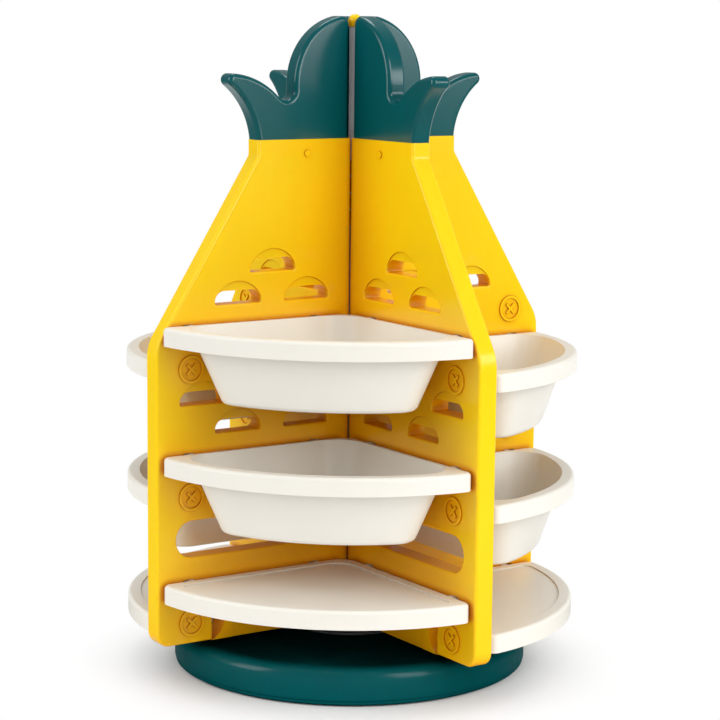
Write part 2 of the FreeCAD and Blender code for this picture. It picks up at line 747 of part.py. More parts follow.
# The air inside a panel, which is pinched shut round every opening and socket.
def make_plate_air():
    wall = cell("panel_wall")
    body = new_body("plate_air")
    outline = Drawing(body, "outline", "XZ_Plane")
    outline.rounded(panel_corners(wall, cell("panel_top") - pin_sink - wall))
    add_pad(body, outline, "air", cell("panel_thick") - wall * 2, both_ways=True)
    add_openings(body, wall)
    for low_side, name in ((False, "high"), (True, "low")):
        drawing = Drawing(body, f"{name}_lines", "XZ_Plane")
        for across, rim in hook_places(low_side):
            draw_socket(drawing, across, rim, wall)
        add_pocket(body, drawing, name, cell("panel_thick") * 2, both_ways=True)
    posts = Drawing(body, "post_lines", "XY_Plane", arm_top)
    draw_screw_places(posts, cell("arm_screw_wide") / 2 + wall)
    add_pocket(body, posts, "screw_posts", cell("arm_screw_into") + wall)
    return body


# A ring round the pole, and the web that joins it to its panel.
def make_knuckle(label, bottom):
    ring = add_cylinder(f"{label}_ring", cell("knuckle_wide") / 2, cell("knuckle_high"), lift=bottom)
    web = doc.addObject("Part::Box", f"{label}_web")
    bind(web, "Length", cell("core_radius") + cell("panel_wall"))
    bind(web, "Width", cell("web_wide"))
    bind(web, "Height", cell("knuckle_high"))
    bind(web, "Placement.Base.y", cell("web_wide") / -2)
    bind(web, "Placement.Base.z", bottom)
    whole = doc.addObject("Part::Fuse", f"{label}_whole")
    whole.Base = ring
    whole.Tool = web
    knuckle = doc.addObject("Part::Cut", label)
    knuckle.Base = whole
    knuckle.Tool = add_cylinder(f"{label}_bore", cell("pole_wide") / 2 + cell("fit_clear"),
                                cell("panel_top"))
    return knuckle


# Each panel has its own knuckles, at heights that no other panel uses.
def make_panel(label, turn, index, plate):
    lift = cell("knuckle_pitch") * index
    knuckles = [make_knuckle(f"{label}_knuckle_low", arm_top + cell("knuckle_rise") + lift),
                make_knuckle(f"{label}_knuckle_high", cell("panel_top") - cell("knuckle_drop") + lift)]
    panel = doc.addObject("Part::MultiFuse", label)
    panel.Shapes = [plate] + knuckles
    finish_piece(panel, label, turn)


def make_panels():
    plate = make_plate()
    mirrored = doc.addObject("Part::Mirroring", "mirrored_plate")
    mirrored.Source = plate
    mirrored.Normal = Vector(0, 1, 0)
    for index, (side, turn) in enumerate(WINGS):
        make_panel(f"panel_{side}", turn, index, plate if turn % 180 == 0 else mirrored)


make_panels()


# Leaves.

# An edge that runs across the plate at one corner of its outline.
def crossing_edge(across, up):
    def wanted(edge):
        box = edge.BoundBox
        runs = box.YMax - box.YMin > panel_half.value
        return runs and lies_at(edge, 0, across.value) and lies_at(edge, 2, up.value)
    return wanted


# Height of the tall lobe's curve over its foot, and how far the curve bulges over its chord.
def lobe_curve(wide, radius):
    away = radius - wide
    high = root(radius * radius - away * away)
    return high, radius - root(radius * radius - (wide * wide + high * high) / 4)


def make_leaf():
    body = new_body("leaf_model")
    low = cell("panel_top")
    lobe = cell("leaf_inner") + cell("lobe_wide")
    lobe_foot = low + cell("lobe_foot")
    high, bulge = lobe_curve(cell("lobe_wide"), cell("lobe_radius"))
    valley = (lobe, low + cell("valley_rise"))
    tip = (cell("neck_radius") + cell("tip_reach"), low + cell("tip_rise"))
    peak = (cell("leaf_inner"), lobe_foot + high)
    outline = Drawing(body, "outline", "XZ_Plane")
    outline.chain([
        (cell("leaf_inner"), low, None),
        (cell("neck_radius"), low, (cell("tip_hollow"), "in")),
        (*tip, (cell("tip_crown"), "out")),
        (*valley, None),
        (lobe, lobe_foot, (bulge, "out")),
        (*peak, None),
    ])
    add_pad(body, outline, "plate", cell("panel_thick"), both_ways=True)
    for name, spot in (("tip", tip), ("valley", valley), ("lobe", peak)):
        add_fillet(body, f"{name}_corner", cell(f"{name}_round"), crossing_edge(*spot))
    add_fillet(body, "edges", cell("leaf_round"),
               lambda edge: on_plate_face(edge) and not lies_at(edge, 2, low.value))
    pins = Drawing(body, "pin_lines", "XY_Plane", low)
    draw_pin_places(pins)
    add_pocket(body, pins, "pin_holes", pin_sink)
    add_leaf_air(body, lobe_foot)
    return body


# The hollow of the tall lobe, above the pins and clear of its rounded corner.
def add_leaf_air(body, lobe_foot):
    wall = cell("panel_wall") * 2
    inner = cell("leaf_inner") + cell("lobe_round")
    outer = cell("leaf_inner") + cell("lobe_wide") - wall
    low = cell("panel_top") + pin_sink + wall / 2
    high, bulge = lobe_curve(outer - inner, cell("lobe_radius") - wall)
    air = Drawing(body, "air_lines", "XZ_Plane")
    air.chain([
        (inner, low, None),
        (outer, low, None),
        (outer, lobe_foot, (bulge, "out")),
        (inner, lobe_foot + high, None),
    ])
    add_pocket(body, air, "air", cell("panel_thick") - wall, both_ways=True)


def make_leaves():
    leaf = make_leaf()
    pins = []
    for side, turn in WINGS:
        add_copy(f"leaf_{side}", leaf, turn)
        for spot in ("pin_inner", "pin_outer"):
            across, along = ring_places(cell(spot), 1, turn)[0]
            pins.append(add_cylinder(f"pin_{side}_{spot}", cell("pin_wide") / 2 - cell("fit_clear"),
                                     cell("pin_long"), across, along, cell("panel_top") - pin_sink))
    group = doc.addObject("Part::Compound", "leaf_pins")
    group.Links = pins
    finish_piece(group, "leaf_pins")


make_leaves()


# Bins and trays, each drawn with its rim's top at height nought.

def add_rim(body, high):
    lines = Drawing(body, "rim_lines", "XY_Plane", high * -1)
    lines.sector(rim_radius, rim_inset, cell("rim_nose"), cell("rim_corner"))
    add_pad(body, lines, "rim", high)
    add_fillet(body, "rim_edge", cell("rim_round"), lambda edge: lies_at(edge, 2, 0))
    wall = cell("bin_wall")
    under = Drawing(body, "under_lines", "XY_Plane", high * -1)
    under.sector(rim_radius - wall, rim_inset + wall, cell("rim_nose") - wall,
                 cell("rim_corner") - wall)
    add_pocket(body, under, "underside", high - wall)


# The bowl, or the room inside it, which is smaller by the wall.
def add_bowl(body, kind, name, wall):
    deep = cell("bin_deep") - wall
    top_lines = Drawing(body, f"{name}_top", "XY_Plane")
    top_lines.sector(bowl_radius - wall, panel_half + cell("bowl_inset") + wall,
                     cell("bowl_corner") - wall, cell("bowl_corner") - wall)
    low_lines = Drawing(body, f"{name}_low", "XY_Plane", deep * -1)
    low_lines.sector(floor_radius - wall, panel_half + cell("floor_inset") + wall,
                     cell("floor_corner") - wall, cell("floor_corner") - wall)
    add_loft(body, kind, name, [top_lines, low_lines])
    add_fillet(body, f"{name}_edge", cell("bowl_round") - wall,
               lambda edge: lies_at(edge, 2, -deep.value))


# Hooks along both straight sides. They start inside the rim's band.
def add_hooks(body):
    wall = cell("bin_wall")
    start = rim_inset + wall
    low = cell("hook_low") * -1
    high = hook_half - hook_middle
    arch = hook_half - SHORT_LINE
    for plane, name, away, back in (("XZ_Plane", "hooks_x", start * -1, False),
                                    ("YZ_Plane", "hooks_y", start, True)):
        drawing = Drawing(body, f"{name}_lines", plane, away)
        for across in (cell("hook_inner"), hook_outer):
            drawing.rounded([(across - hook_half, low, None), (across + hook_half, low, None),
                             (across + hook_half, high, arch), (across - hook_half, high, arch)])
        add_pad(body, drawing, name, wall + cell("rim_gap") + cell("hook_reach"), backwards=back)


def make_bin():
    body = new_body("bin_model")
    wall = cell("bin_wall")
    add_rim(body, cell("rim_high"))
    add_fillet(body, "under_edge", cell("rim_round") - wall, lambda edge: lies_at(edge, 2, -wall.value))
    add_bowl(body, "PartDesign::AdditiveLoft", "bowl", as_size(0))
    add_bowl(body, "PartDesign::SubtractiveLoft", "room", wall)
    add_hooks(body)
    return body


def make_tray():
    body = new_body("tray_model")
    wall = cell("bin_wall")
    sink = cell("tray_sink")
    border = cell("tray_border")
    front = rim_radius
    corners = (cell("rim_nose") - wall / 2, cell("rim_corner") - wall / 2)
    add_rim(body, cell("tray_high"))
    seat = Drawing(body, "seat_lines", "XY_Plane", (wall + sink) * -1)
    seat.sector(front - wall / 2, rim_inset + wall / 2, *corners)
    add_pad(body, seat, "seat", sink)
    sunk = Drawing(body, "sunk_lines", "XY_Plane", sink * -1)
    sunk.sector(front - border, rim_inset + border, *corners)
    add_pocket(body, sunk, "sunk", sink)
    ribs = Drawing(body, "rib_lines", "XY_Plane", (wall + sink + cell("tray_rib_high")) * -1)
    for step in range(TRAY_RIBS):
        across = cell("tray_rib_step") * (step + 1) - wall
        middle = across + wall / 2
        reach = front - wall / 2
        long = root(reach * reach - middle * middle)
        ribs.box(across, rim_inset + wall / 2, across + wall, long)
    add_pad(body, ribs, "ribs", cell("tray_rib_high") + sink / 2)
    add_hooks(body)
    return body


def make_quadrants():
    bin_model = make_bin()
    tray_model = make_tray()
    for quadrant, turn in QUADRANTS:
        upper, lower, bottom = rim_heights(low_side=turn % 180 == 90)
        add_copy(f"bin_upper_{quadrant}", bin_model, turn, upper)
        add_copy(f"bin_lower_{quadrant}", bin_model, turn, lower)
        add_copy(f"tray_{quadrant}", tray_model, turn, bottom)


make_quadrants()


# Hub, pole and what holds them.

def add_arms(body):
    foot = cell("panel_foot")
    end = cell("arm_radius") - cell("arm_end_long")
    arm = Drawing(body, "arm_lines", "XZ_Plane")
    arm.box(0, foot, end + cell("arm_step"), arm_top)
    arm_pad = add_pad(body, arm, "arm", arm_half * 2, both_ways=True)
    tip = Drawing(body, "arm_end_lines", "XZ_Plane")
    tip.chain([(end, foot, None), (cell("arm_radius"), foot, (cell("arm_bite"), "in")),
               (cell("arm_radius"), arm_top, None), (end, arm_top, None)])
    tip_pad = add_pad(body, tip, "arm_end", cell("panel_thick"), both_ways=True)
    wall = cell("arm_wall")
    air = Drawing(body, "arm_air_lines", "XY_Plane", arm_top)
    air.box(cell("arm_screw_inner") - cell("arm_air_reach"), wall - arm_half,
            cell("arm_screw_outer") + cell("arm_air_reach"), arm_half - wall)
    draw_screw_places(air, cell("arm_screw_head") / 2 + wall)
    air_cut = add_pocket(body, air, "arm_air", cell("arm_high") - cell("disc_high"), against=True)
    holes = Drawing(body, "arm_hole_lines", "XY_Plane", foot)
    draw_screw_places(holes, cell("arm_screw_wide") / 2 + cell("fit_clear"))
    hole_cut = add_pocket(body, holes, "arm_holes", cell("arm_high"))
    heads = Drawing(body, "arm_head_lines", "XY_Plane", foot)
    draw_screw_places(heads, cell("arm_screw_head") / 2 + cell("fit_clear"))
    head_cut = add_pocket(body, heads, "arm_heads", cell("arm_screw_head_high"))
    add_turned_copies(body, "arms", [arm_pad, tip_pad, air_cut, hole_cut, head_cut], len(WINGS))


# Sockets for the inner hooks of the two low trays, in the arms' faces.
def add_arm_sockets(body):
    rim = rim_heights(low_side=True)[-1]
    deep = cell("hook_reach") + cell("hook_clear") - cell("arm_step")
    for name, plane, against in (("east", "XZ_Plane", True), ("north", "YZ_Plane", False)):
        away = arm_half * (1 if against else -1)
        drawing = Drawing(body, f"socket_{name}_lines", plane, away)
        draw_socket(drawing, cell("hook_inner"), rim, as_size(0))
        cut = add_pocket(body, drawing, f"socket_{name}", deep, against=against)
        add_turned_copies(body, f"sockets_{name}", [cut], 2)


def make_hub():
    body = new_body("hub_cross")
    foot = cell("panel_foot")
    disc = Drawing(body, "disc_lines", "XY_Plane", foot)
    disc.circle(0, 0, disc_radius)
    add_pad(body, disc, "disc", cell("disc_high"))
    add_arms(body)
    add_arm_sockets(body)
    for name, radius, level, deep in (
            ("pole_bore", cell("pole_wide") / 2 + cell("fit_clear"), pole_foot, cell("arm_high")),
            ("bolt_hole", cell("bolt_wide") / 2 + cell("fit_clear"), foot, cell("pole_floor")),
            ("bolt_seat", cell("bolt_head_wide") / 2 + cell("fit_clear"), foot, cell("bolt_head_high"))):
        drawing = Drawing(body, f"{name}_lines", "XY_Plane", level)
        drawing.circle(0, 0, radius)
        add_pocket(body, drawing, name, deep)
    first = Drawing(body, "race_hole_lines", "XY_Plane", foot)
    across, along = upper_screw_places()[0]
    first.circle(across, along, cell("race_screw_wide") / 2 + cell("fit_clear"))
    hole = add_pocket(body, first, "race_hole", cell("race_screw_long"))
    add_turned_copies(body, "race_holes", [hole], RACE_SCREWS)
    finish_piece(body, "hub_cross")


def upper_screw_places():
    return ring_places(upper_screw_radius, RACE_SCREWS, UPPER_SCREW_TURN)


def make_pole():
    long = pole_top - pole_foot
    tube = new_body("centre_pole")
    ring = Drawing(tube, "tube_lines", "XY_Plane", pole_foot)
    ring.circle(0, 0, cell("pole_wide") / 2)
    ring.circle(0, 0, cell("pole_wide") / 2 - cell("pole_wall"))
    add_pad(tube, ring, "tube", long)
    finish_piece(tube, "centre_pole")
    insert = new_body("pole_insert")
    ring = Drawing(insert, "insert_lines", "XY_Plane", pole_foot)
    ring.circle(0, 0, cell("pole_wide") / 2 - cell("pole_wall") - cell("fit_clear"))
    ring.circle(0, 0, cell("bolt_wide") / 2 + cell("fit_clear"))
    add_pad(insert, ring, "insert", cell("insert_long"))
    finish_piece(insert, "pole_insert")
    head = cell("bolt_head_high")
    shank = cell("pole_floor") - head + cell("bolt_into")
    add_screws("pole_bolt", [(0, 0)], cell("bolt_wide"), shank, cell("bolt_head_wide"), head,
               cell("panel_foot"))


def make_cap():
    body = new_body("pole_cap")
    inner = cell("pole_wide") / 2 + cell("fit_clear")
    outer = inner + cell("cap_wall")
    top = pole_top
    dome = top + cell("cap_crown")
    lines = Drawing(body, "cap_lines", "XZ_Plane")
    lines.chain([
        (0, top, None), (inner, top, None), (inner, top - cell("cap_skirt"), None),
        (outer, top - cell("cap_skirt"), None), (outer, dome, (outer * QUARTER_SAG, "out")),
        (0, dome + outer, None),
    ])
    add_turning(body, lines, "cap")
    finish_piece(body, "pole_cap")


def make_arm_screws():
    places = []
    for side, turn in WINGS:
        for spot in ("arm_screw_inner", "arm_screw_outer"):
            places += ring_places(cell(spot), 1, turn)
    head = cell("arm_screw_head_high")
    shank = cell("arm_high") - head + cell("arm_screw_into")
    add_screws("arm_screws", places, cell("arm_screw_wide"), shank, cell("arm_screw_head"), head,
               cell("panel_foot"))


make_hub()
make_pole()
make_cap()
make_arm_screws()


# Turntable bearing.

# A flat race with a groove. The groove opens upwards in the lower race and downwards in the upper.
def make_race(label, low, screw_places, opens_up):
    body = new_body(label)
    high = low + cell("race_high")
    radius, sink, clear = cell("ball_wide") / 2, cell("ball_sink"), cell("ball_clear")
    half = root(radius * radius - (radius - sink) * (radius - sink)) + clear
    groove_deep = sink + clear
    left, right = ball_radius - half, ball_radius + half
    lines = Drawing(body, "race_lines", "XZ_Plane")
    if opens_up:
        lines.chain([(cell("race_inner"), low, None), (cell("race_outer"), low, None),
                     (cell("race_outer"), high, None), (right, high, (groove_deep, "in")),
                     (left, high, None), (cell("race_inner"), high, None)])
    else:
        lines.chain([(cell("race_inner"), low, None), (left, low, (groove_deep, "in")),
                     (right, low, None), (cell("race_outer"), low, None),
                     (cell("race_outer"), high, None), (cell("race_inner"), high, None)])
    add_turning(body, lines, "race")
    across, along = screw_places[0]
    head_level = high - cell("small_head_high") if opens_up else low
    features = []
    for name, wide, level, deep in (("hole", "race_screw_wide", low, cell("race_high")),
                                    ("seat", "race_screw_head", head_level, cell("small_head_high"))):
        drawing = Drawing(body, f"{name}_lines", "XY_Plane", level)
        drawing.circle(across, along, cell(wide) / 2 + cell("fit_clear"))
        features.append(add_pocket(body, drawing, name, deep))
    add_turned_copies(body, "screw_holes", features, RACE_SCREWS)
    finish_piece(body, label)


def make_cage():
    body = new_body("bearing_cage")
    level = deck + cell("race_high") + cell("ball_clear")
    ring = Drawing(body, "ring_lines", "XY_Plane", level)
    ring.circle(0, 0, ball_radius + cell("cage_wide") / 2)
    ring.circle(0, 0, ball_radius - cell("cage_wide") / 2)
    add_pad(body, ring, "ring", cell("cage_high"))
    hole = Drawing(body, "hole_lines", "XY_Plane", level)
    hole.circle(ball_radius, 0, cell("ball_wide") / 2 + cell("fit_clear"))
    cut = add_pocket(body, hole, "hole", cell("cage_high"))
    add_turned_copies(body, "holes", [cut], BALLS)
    finish_piece(body, "bearing_cage")


def make_balls():
    balls = []
    lift = deck + cell("race_high") - cell("ball_sink") + cell("ball_wide") / 2
    for step, (across, along) in enumerate(ring_places(ball_radius, BALLS)):
        ball = doc.addObject("Part::Sphere", f"ball_{step}")
        bind(ball, "Radius", cell("ball_wide") / 2)
        bind(ball, "Placement.Base.x", across)
        bind(ball, "Placement.Base.y", along)
        bind(ball, "Placement.Base.z", lift)
        balls.append(ball)
    group = doc.addObject("Part::Compound", "bearing_balls")
    group.Links = balls
    finish_piece(group, "bearing_balls")


def lower_screw_places():
    return ring_places(lower_screw_radius, RACE_SCREWS)


def make_bearing():
    upper = cell("panel_foot") - cell("race_high")
    make_race("bearing_lower_race", deck, lower_screw_places(), True)
    make_race("bearing_upper_race", upper, upper_screw_places(), False)
    make_cage()
    make_balls()
    head = cell("small_head_high")
    shank = cell("race_screw_long") + cell("race_high") - head
    add_screws("upper_race_screws", upper_screw_places(), cell("race_screw_wide"), shank,
               cell("race_screw_head"), head, upper)
    add_screws("lower_race_screws", lower_screw_places(), cell("race_screw_wide"), shank,
               cell("race_screw_head"), head, deck + cell("race_high") - head, points_up=False)


make_bearing()


# Base.

# Posts that hang from the dish, each with a screw hole, repeated round the axis.
def add_posts(body, name, places, wide, low, high, hole, hole_low, hole_deep):
    across, along = places[0]
    post = Drawing(body, f"{name}_lines", "XY_Plane", low)
    post.circle(across, along, cell(wide) / 2)
    pad = add_pad(body, post, name, high - low)
    bore = Drawing(body, f"{name}_bore_lines", "XY_Plane", hole_low)
    bore.circle(across, along, cell(hole) / 2 + cell("fit_clear"))
    cut = add_pocket(body, bore, f"{name}_bore", hole_deep)
    add_turned_copies(body, f"{name}_ring", [pad, cut], len(places))


def make_dish():
    body = new_body("base_shell")
    wall = cell("base_wall")
    edge, bend = cell("base_radius"), cell("base_round")
    under = deck - wall
    lines = Drawing(body, "dish_lines", "XZ_Plane")
    lines.chain([
        (0, under, None),
        (edge - bend, under, ((bend - wall) * QUARTER_SAG, "in")),
        (edge - wall, deck - bend, None),
        (edge - wall, cell("lip_top"), None),
        (edge, cell("lip_top"), None),
        (edge, deck - bend, (bend * QUARTER_SAG, "out")),
        (edge - bend, deck, None),
        (0, deck, None),
    ])
    add_turning(body, lines, "dish")
    floor = cell("pad_high") + wall
    add_posts(body, "post", post_places(), "post_wide", floor, deck - wall / 2,
              "base_screw_wide", floor, cell("base_screw_long"))
    race_low = under - cell("race_post_long")
    add_posts(body, "race_post", lower_screw_places(), "race_post_wide", race_low, deck - wall / 2,
              "race_screw_wide", race_low, deck - race_low)
    rib = Drawing(body, "rib_lines", "XZ_Plane")
    rib.box(lower_screw_radius + cell("race_post_wide"), under - cell("rib_high"),
            edge - bend, deck - wall / 2)
    pad = add_pad(body, rib, "rib", cell("rib_thick"), both_ways=True)
    add_turned_copies(body, "ribs", [pad], RIBS)
    finish_piece(body, "base_shell")


def post_places():
    return ring_places(post_circle, BASE_SCREWS, POST_TURN)


def pad_places():
    return ring_places(pad_circle, FEET, POST_TURN)


def make_foot_plate():
    body = new_body("base_plate")
    low = cell("pad_high")
    floor = low + cell("base_wall")
    edge, bend = cell("base_radius") - cell("lip_set_back"), cell("lip_edge")
    lines = Drawing(body, "plate_lines", "XZ_Plane")
    lines.chain([
        (0, low, None),
        (edge - bend, low, (bend * QUARTER_SAG, "out")),
        (edge, low + bend, None),
        (edge, cell("lip_top"), None),
        (edge - cell("lip_wide"), cell("lip_top"), None),
        (edge - cell("lip_wide"), floor, None),
        (0, floor, None),
    ])
    add_turning(body, lines, "plate")
    for name, places, wide, deep in (("hole", post_places(), "base_screw_wide", cell("base_wall")),
                                     ("seat", post_places(), "base_screw_head", cell("small_head_high")),
                                     ("pad_seat", pad_places(), "pad_wide", cell("pad_sink"))):
        across, along = places[0]
        drawing = Drawing(body, f"{name}_lines", "XY_Plane", low)
        drawing.circle(across, along, cell(wide) / 2 + cell("fit_clear"))
        cut = add_pocket(body, drawing, name, deep)
        add_turned_copies(body, f"{name}_ring", [cut], len(places))
    finish_piece(body, "base_plate")


def make_feet():
    feet = [add_cylinder(f"foot_{step}", cell("pad_wide") / 2, cell("pad_high") + cell("pad_sink"),
                         across, along)
            for step, (across, along) in enumerate(pad_places())]
    group = doc.addObject("Part::Compound", "base_feet")
    group.Links = feet
    finish_piece(group, "base_feet")


def make_base_screws():
    add_screws("base_screws", post_places(), cell("base_screw_wide"), cell("base_screw_long"),
               cell("base_screw_head"), cell("small_head_high"), cell("pad_high"))


make_dish()
make_foot_plate()
make_feet()
make_base_screws()


def finish():
    doc.recompute()
    faults = [thing.Name for thing in doc.Objects
              if any(state in ("Invalid", "Error") for state in thing.State)]
    if faults:
        raise RuntimeError(f"failed objects: {faults}")
    for node in nodes:
        if node.Shape.isNull() or not node.Shape.isValid():
            raise RuntimeError(f"{node.Label} has no sound shape")
    os.makedirs("parts", exist_ok=True)
    for node in nodes:
        node.Shape.exportStep(f"parts/{node.Label}.step")
        print(node.Label, len(node.Shape.Solids), round(node.Shape.Volume / 1000), "cm3")


finish()
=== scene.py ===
import json
import math
import bmesh
import bpy
from mathutils import Matrix, Vector

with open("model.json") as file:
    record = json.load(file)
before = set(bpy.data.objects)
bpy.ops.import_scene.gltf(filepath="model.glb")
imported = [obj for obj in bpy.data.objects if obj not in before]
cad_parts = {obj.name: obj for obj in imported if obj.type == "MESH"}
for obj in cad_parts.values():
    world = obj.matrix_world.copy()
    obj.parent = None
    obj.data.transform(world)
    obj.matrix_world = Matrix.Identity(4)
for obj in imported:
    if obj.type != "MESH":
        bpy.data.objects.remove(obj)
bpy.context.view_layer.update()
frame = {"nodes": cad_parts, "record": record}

nodes = frame["nodes"]
print("frame loaded:", len(nodes), "nodes")


def newNode(tree, kind, place, **values):
    node = tree.nodes.new(kind)
    node.location = place
    for name, value in values.items():
        setattr(node, name, value)
    return node


# A link where the value is a socket, and a fixed number, vector or colour otherwise.
def feed(tree, value, sink):
    if isinstance(value, bpy.types.NodeSocket):
        tree.links.new(value, sink)
    elif sink.type == "RGBA":
        sink.default_value = (*value, 1.0)
    else:
        sink.default_value = value


def maths(tree, place, operation, first, second):
    node = newNode(tree, "ShaderNodeMath", place, operation=operation)
    feed(tree, first, node.inputs[0])
    feed(tree, second, node.inputs[1])
    return node.outputs["Value"]


def vectorMaths(tree, place, operation, first, second=None):
    node = newNode(tree, "ShaderNodeVectorMath", place, operation=operation)
    feed(tree, first, node.inputs[0])
    if second is not None:
        feed(tree, second, node.inputs[1])
    return node.outputs["Value" if operation in ("LENGTH", "DOT_PRODUCT") else "Vector"]


# The two ends of the span become low and high, and what lies outside is held at them.
def remap(tree, place, value, span, low=0.0, high=1.0):
    node = newNode(tree, "ShaderNodeMapRange", place, clamp=True)
    for name, number in (("Value", value), ("From Min", span[0]), ("From Max", span[1]),
                         ("To Min", low), ("To Max", high)):
        feed(tree, number, node.inputs[name])
    return node.outputs["Result"]


def mix(tree, place, factor, first, second, kind="RGBA"):
    node = newNode(tree, "ShaderNodeMix", place, data_type=kind)
    for name, value in (("Factor", factor), ("A", first), ("B", second)):
        feed(tree, value, next(s for s in node.inputs if s.name == name and s.enabled))
    return next(s for s in node.outputs if s.enabled)


def noise(tree, place, vector, scale, detail, roughness=0.5):
    node = newNode(tree, "ShaderNodeTexNoise", place)
    for name, value in (("Vector", vector), ("Scale", scale), ("Detail", detail),
                        ("Roughness", roughness)):
        feed(tree, value, node.inputs[name])
    return node.outputs["Fac"]


# Noise that is cut to a mask: the span of the pattern runs from 0 to 1.
def noiseMask(tree, place, vector, pattern):
    cloud = noise(tree, place, vector, pattern["scale"], pattern["detail"], pattern["roughness"])
    return remap(tree, (place[0] + 200, place[1]), cloud, pattern["span"])


def stretched(tree, place, vector, scale, rotation=(0.0, 0.0, 0.0)):
    node = newNode(tree, "ShaderNodeMapping", place)
    for name, value in (("Vector", vector), ("Rotation", rotation), ("Scale", scale)):
        feed(tree, value, node.inputs[name])
    return node.outputs["Vector"]


# A group with its inputs and outputs, which are listed by kind.
def newGroup(name, inputs, outputs):
    group = bpy.data.node_groups.new(name, "ShaderNodeTree")
    for side, sockets in (("INPUT", inputs), ("OUTPUT", outputs)):
        for kind, labels in sockets.items():
            for label in labels:
                group.interface.new_socket(name=label, in_out=side,
                                           socket_type=f"NodeSocket{kind}")
    start = newNode(group, "NodeGroupInput", (-900, 0))
    end = newNode(group, "NodeGroupOutput", (900, 0))
    return group, start.outputs, end.inputs


skinPattern = {"layers": ("grain", "peel", "wave"), "detail": 1.5}


# Height of a moulded skin: fine grain, orange peel and the slow waves of a cooling wall.
def makeMouldedSkin(look):
    group, given, result = newGroup(
        "mouldedSkin",
        {"Vector": ["vector"],
         "Float": ["grainScale", "grain", "peelScale", "peel", "waveScale", "wave"]},
        {"Float": ["height"]})
    total = None
    for row, name in enumerate(look["layers"]):
        level = -200 * row
        layer = noise(group, (-600, level), given["vector"], given[f"{name}Scale"],
                      look["detail"])
        part = maths(group, (-300, level), "MULTIPLY", layer, given[name])
        total = part if total is None else maths(group, (0, level), "ADD", total, part)
    feed(group, total, result["height"])
    return group


flowPattern = {
    "cloud": {"scale": 7.0, "detail": 4.0, "roughness": 0.6, "span": (0.35, 0.7)},
    "streak": {"scale": 1.0, "detail": 3.0, "roughness": 0.6, "span": (0.4, 0.75)},
    "streakStretch": (55.0, 55.0, 4.0),
    "rare": {"scale": 60.0, "detail": 2.0, "roughness": 0.5, "span": (0.62, 0.66)},
    "dotScale": 210.0, "dotEdge": (0.05, 0.09),
}


# Colour that drifts between a light and a deep tone, with flow streaks and small specks.
def makeFlowTone(look):
    group, given, result = newGroup(
        "flowTone",
        {"Vector": ["vector"], "Color": ["base", "deep", "speck"],
         "Float": ["drift", "streaks", "specks"]},
        {"Color": ["colour"]})
    place = given["vector"]
    cloud = noiseMask(group, (-700, 200), place, look["cloud"])
    lines = stretched(group, (-900, 0), place, look["streakStretch"])
    flow = noiseMask(group, (-700, 0), lines, look["streak"])
    drift = maths(group, (-300, 200), "MULTIPLY", cloud, given["drift"])
    streak = maths(group, (-300, 0), "MULTIPLY", flow, given["streaks"])
    amount = maths(group, (-100, 100), "ADD", drift, streak)
    toned = mix(group, (100, 100), amount, given["base"], given["deep"])
    dots = newNode(group, "ShaderNodeTexVoronoi", (-700, -250), feature="F1")
    feed(group, place, dots.inputs["Vector"])
    feed(group, look["dotScale"], dots.inputs["Scale"])
    dot = remap(group, (-500, -250), dots.outputs["Distance"], look["dotEdge"], 1.0, 0.0)
    rare = noiseMask(group, (-700, -450), place, look["rare"])
    speck = maths(group, (-300, -300), "MULTIPLY", dot, rare)
    faint = maths(group, (-100, -300), "MULTIPLY", speck, given["specks"])
    feed(group, mix(group, (300, 0), faint, toned, given["speck"]), result["colour"])
    return group


handlingPattern = {
    "scratch": {"scale": 1.0, "detail": 2.0, "roughness": 0.5, "span": (0.70, 0.76)},
    "scratchStretch": (9.0, 420.0, 9.0),
    "scratchTurns": (0.5, 1.9, 2.8), "turnShares": (1.0, 0.7, 1.3),
    "patch": {"scale": 9.0, "detail": 3.0, "roughness": 0.5, "span": (0.45, 0.65)},
    "smudge": {"scale": 22.0, "detail": 5.0, "roughness": 0.65, "span": (0.4, 0.7)},
    "lint": {"scale": 35.0, "detail": 6.0, "roughness": 0.7, "span": (0.4, 0.7)},
    "upward": (0.6, 1.0),
}


# Marks of handling: scratches and smudges that change the gloss, and dust on what faces up.
def makeHandling(look):
    group, given, result = newGroup(
        "handling",
        {"Vector": ["vector"], "Float": ["scratches", "smudges", "dust"]},
        {"Float": ["gloss", "scratch", "dust"]})
    place = given["vector"]
    scratch = None
    for row, turn in enumerate(look["scratchTurns"]):
        level = 300 - 200 * row
        turned = stretched(group, (-900, level), place, look["scratchStretch"],
                           [turn * share for share in look["turnShares"]])
        line = noiseMask(group, (-700, level), turned, look["scratch"])
        scratch = line if scratch is None else maths(
            group, (-300, level), "MAXIMUM", scratch, line)
    patch = noiseMask(group, (-700, -350), place, look["patch"])
    marks = maths(group, (-100, 200), "MULTIPLY", scratch, patch)
    scored = maths(group, (100, 200), "MULTIPLY", marks, given["scratches"])
    smudge = noiseMask(group, (-700, -550), place, look["smudge"])
    smeared = maths(group, (100, -100), "MULTIPLY", smudge, given["smudges"])
    surface = newNode(group, "ShaderNodeNewGeometry", (-900, -750))
    split = newNode(group, "ShaderNodeSeparateXYZ", (-700, -750))
    feed(group, surface.outputs["Normal"], split.inputs["Vector"])
    upward = remap(group, (-500, -750), split.outputs["Z"], look["upward"])
    lint = noiseMask(group, (-700, -950), place, look["lint"])
    settled = maths(group, (-100, -800), "MULTIPLY", upward, lint)
    feed(group, maths(group, (300, 100), "ADD", scored, smeared), result["gloss"])
    feed(group, scored, result["scratch"])
    feed(group, maths(group, (100, -800), "MULTIPLY", settled, given["dust"]), result["dust"])
    return group


mouldedSkin = makeMouldedSkin(skinPattern)
flowTone = makeFlowTone(flowPattern)
handling = makeHandling(handlingPattern)
print("surface effects ready")


